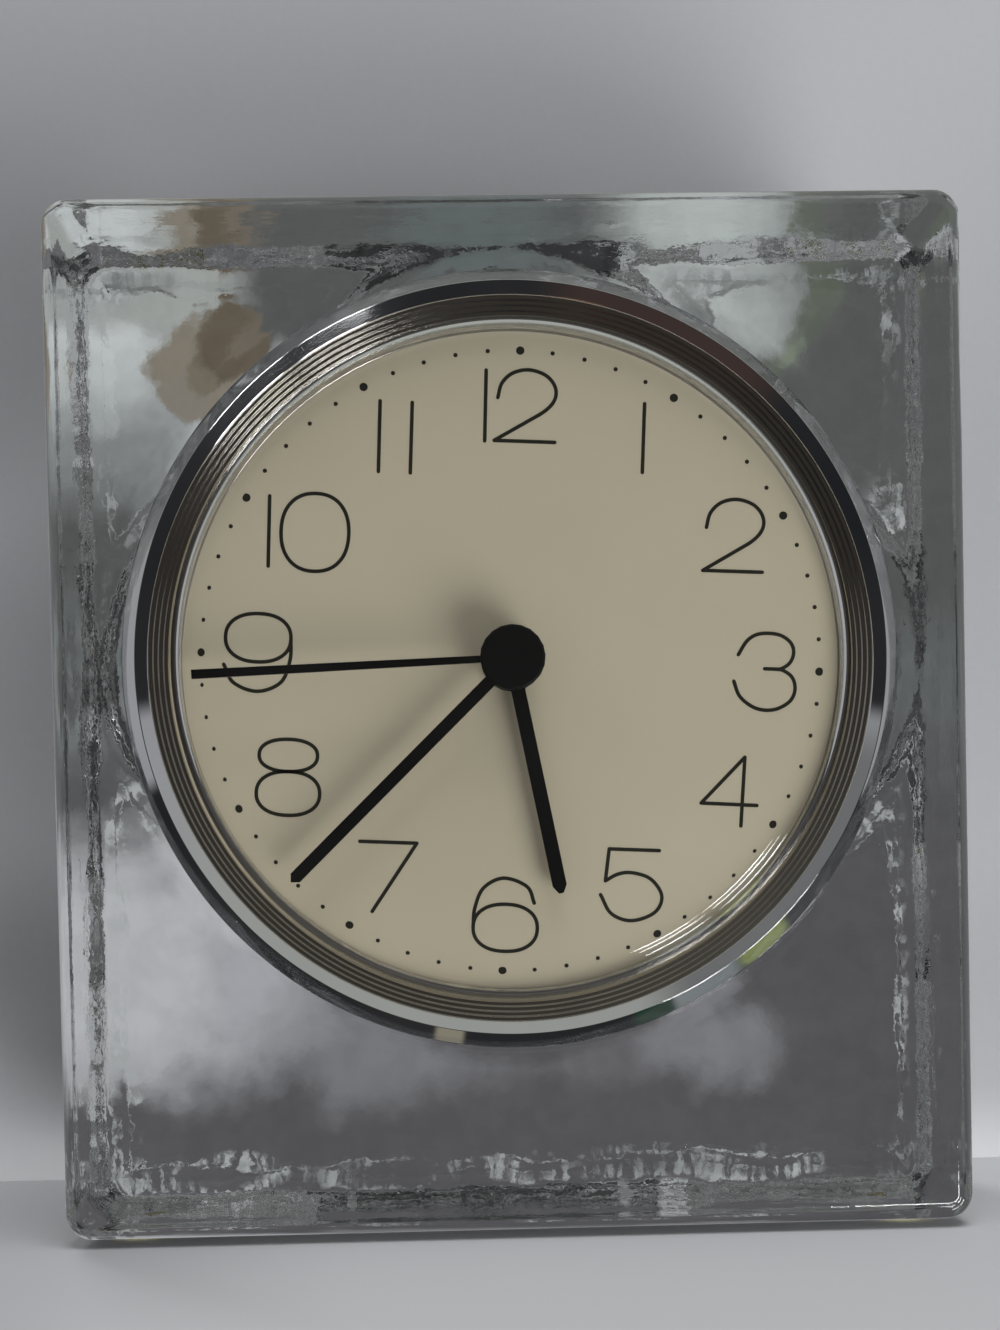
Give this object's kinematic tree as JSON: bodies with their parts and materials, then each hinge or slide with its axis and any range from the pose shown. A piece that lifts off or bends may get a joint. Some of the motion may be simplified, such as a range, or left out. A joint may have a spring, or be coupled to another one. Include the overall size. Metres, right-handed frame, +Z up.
{
  "type": "glass desk clock",
  "caption": "Desk clock: a thick clear glass block bored for a round quartz insert with chrome bezel, domed crystal, cream dial, black hands and a geared movement.",
  "frame": {"origin": "bottom centre of the clock's bounding box, on the surface it stands on", "axes": "+X to the dial's right as it is read, -Y out of the dial towards the viewer, +Z up"},
  "size_m": [0.107, 0.0436, 0.1218],
  "materials": {
    "clear_glass": "gloss",
    "bumper_vinyl": "satin",
    "bright_chrome": "polished",
    "clear_acrylic": "gloss",
    "cream_dial": "matte",
    "black_plastic": "matte",
    "grey_plastic": "satin",
    "black_rubber": "matte",
    "white_nylon": "satin",
    "screw_steel": "satin",
    "stator_steel": "satin",
    "contact_brass": "satin",
    "coil_copper": "satin",
    "rotor_ferrite": "matte",
    "board_green": "satin",
    "chip_epoxy": "satin",
    "battery_sleeve": "satin",
    "hand_black": "satin"
  },
  "bodies": {
    "root": {"glass_block": "clear_glass", "foot_front_left": "bumper_vinyl", "foot_front_right": "bumper_vinyl", "foot_rear_left": "bumper_vinyl", "foot_rear_right": "bumper_vinyl", "bezel": "bright_chrome", "crystal": "clear_acrylic", "dial": "cream_dial", "case_cup": "black_plastic", "grip_band": "black_rubber", "rear_cover": "black_plastic", "cover_screw_1": "screw_steel", "cover_screw_2": "screw_steel", "cover_screw_3": "screw_steel", "cover_screw_4": "screw_steel", "movement_frame": "black_plastic", "middle_plate": "white_nylon", "back_plate": "black_plastic", "plate_screw_1": "screw_steel", "plate_screw_2": "screw_steel", "plate_screw_3": "screw_steel", "plate_screw_4": "screw_steel", "stator": "stator_steel", "coil_bobbin": "white_nylon", "coil_winding": "coil_copper", "circuit_board": "board_green", "chip": "chip_epoxy", "quartz_can": "screw_steel", "battery": "battery_sleeve", "contact_positive": "contact_brass", "contact_negative": "contact_brass"},
    "seconds": {"second_hand": "hand_black", "hub_cap": "hand_black", "seconds_wheel": "white_nylon"},
    "intermediate": {"intermediate_wheel": "white_nylon"},
    "motor_rotor": {"rotor": "rotor_ferrite"},
    "third": {"third_wheel": "white_nylon"},
    "centre": {"centre_wheel": "white_nylon"},
    "minutes": {"minute_hand": "hand_black", "cannon_pinion": "contact_brass"},
    "minute_gear": {"minute_wheel": "white_nylon"},
    "hours": {"hour_hand": "hand_black", "hour_wheel": "contact_brass"},
    "setting": {"setting_stem": "white_nylon", "setting_knob": "grey_plastic"},
    "door": {"battery_door": "grey_plastic"}
  },
  "joints": [
    {"name": "seconds_turn", "type": "hinge", "parent": "root", "child": "seconds", "pos_m": [0, 0, 0.0675], "axis": [0, 1, 0], "continuous": true},
    {"name": "intermediate_turn", "type": "hinge", "parent": "root", "child": "intermediate", "pos_m": [0.0016, 0, 0.07452], "axis": [0, 1, 0], "continuous": true},
    {"name": "rotor_turn", "type": "hinge", "parent": "root", "child": "motor_rotor", "pos_m": [0.00842, 0, 0.07663], "axis": [0, 1, 0], "continuous": true},
    {"name": "third_turn", "type": "hinge", "parent": "root", "child": "third", "pos_m": [0.00792, 0, 0.07157], "axis": [0, 1, 0], "continuous": true},
    {"name": "centre_turn", "type": "hinge", "parent": "root", "child": "centre", "pos_m": [0, 0, 0.0675], "axis": [0, 1, 0], "continuous": true},
    {"name": "minutes_turn", "type": "hinge", "parent": "root", "child": "minutes", "pos_m": [0, 0, 0.0675], "axis": [0, 1, 0], "continuous": true},
    {"name": "minute_gear_turn", "type": "hinge", "parent": "root", "child": "minute_gear", "pos_m": [-0.00646, 0, 0.07166], "axis": [0, 1, 0], "continuous": true},
    {"name": "hours_turn", "type": "hinge", "parent": "root", "child": "hours", "pos_m": [0, 0, 0.0675], "axis": [0, 1, 0], "continuous": true},
    {"name": "setting_turn", "type": "hinge", "parent": "root", "child": "setting", "pos_m": [-0.01291, 0, 0.07582], "axis": [0, 1, 0], "continuous": true},
    {"name": "door_lift", "type": "slide", "parent": "root", "child": "door", "axis": [0, 1, 0], "range_m": [0, 0.02]}
  ],
  "couplings": [
    {"joint": "intermediate_turn", "follows": "seconds_turn", "ratio": -5},
    {"joint": "rotor_turn", "follows": "seconds_turn", "ratio": 30},
    {"joint": "third_turn", "follows": "seconds_turn", "ratio": -0.13333},
    {"joint": "centre_turn", "follows": "seconds_turn", "ratio": 0.016667},
    {"joint": "minute_gear_turn", "follows": "minutes_turn", "ratio": -0.33333},
    {"joint": "hours_turn", "follows": "minutes_turn", "ratio": 0.083333},
    {"joint": "setting_turn", "follows": "minutes_turn", "ratio": 1}
  ]
}
